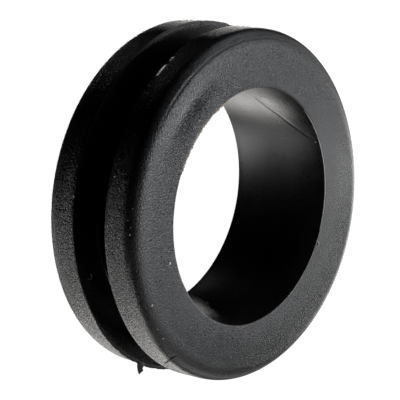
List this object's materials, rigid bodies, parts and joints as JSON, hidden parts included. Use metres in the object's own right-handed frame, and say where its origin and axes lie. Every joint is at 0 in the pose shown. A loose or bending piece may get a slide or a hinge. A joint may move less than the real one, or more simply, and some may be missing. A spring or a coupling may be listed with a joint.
{
  "type": "rubber grommet",
  "caption": "Open rubber grommet: a black moulded ring whose outer groove clips into a panel hole and whose plain bore protects a cable.",
  "frame": {"origin": "middle of the rear flange's face, the face the grommet lies on", "axes": "+Z along the bore from the rear face to the front face; X and Y are free, because the ring is round"},
  "size_m": [0.0246, 0.0246, 0.008],
  "materials": {
    "black_rubber": "matt grained black rubber"
  },
  "bodies": {
    "root": {"grommet": "black_rubber"}
  },
  "joints": []
}
